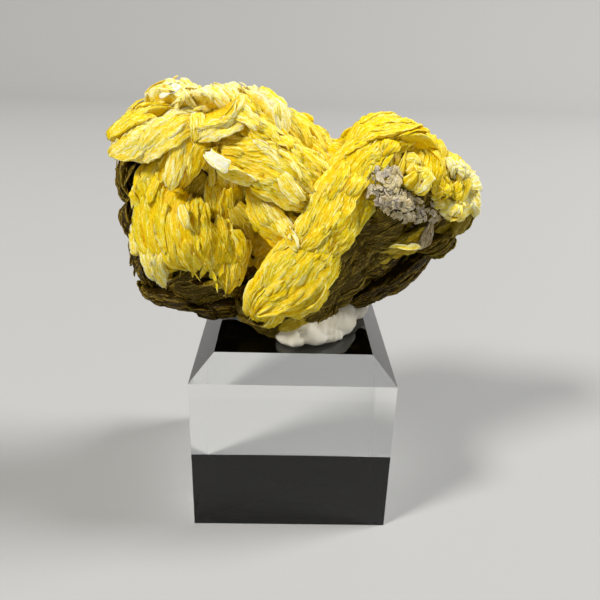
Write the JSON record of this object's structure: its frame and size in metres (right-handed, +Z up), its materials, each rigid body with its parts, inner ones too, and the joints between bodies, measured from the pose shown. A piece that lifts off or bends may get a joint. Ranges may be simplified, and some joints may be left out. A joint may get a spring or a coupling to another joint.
{
  "type": "siderite crystal cluster on a clear acrylic display block",
  "caption": "Cluster of fanned yellow plate-like crystals, stuck with mounting putty to a clear bevelled acrylic display block.",
  "frame": {"origin": "centre of the acrylic block's underside", "axes": "+Z up, +X to the right along the cluster's long side, the display face looks along -Y"},
  "size_m": [0.0919, 0.05, 0.1095],
  "materials": {
    "siderite": "pearly translucent yellow plates, amber in the grooves and olive brown underneath",
    "putty": "soft cream putty, slightly waxy",
    "acrylic": "clear polished acrylic"
  },
  "bodies": {
    "root": {"siderite_cluster": "siderite", "mounting_putty": "putty", "acrylic_base": "acrylic"}
  },
  "joints": []
}
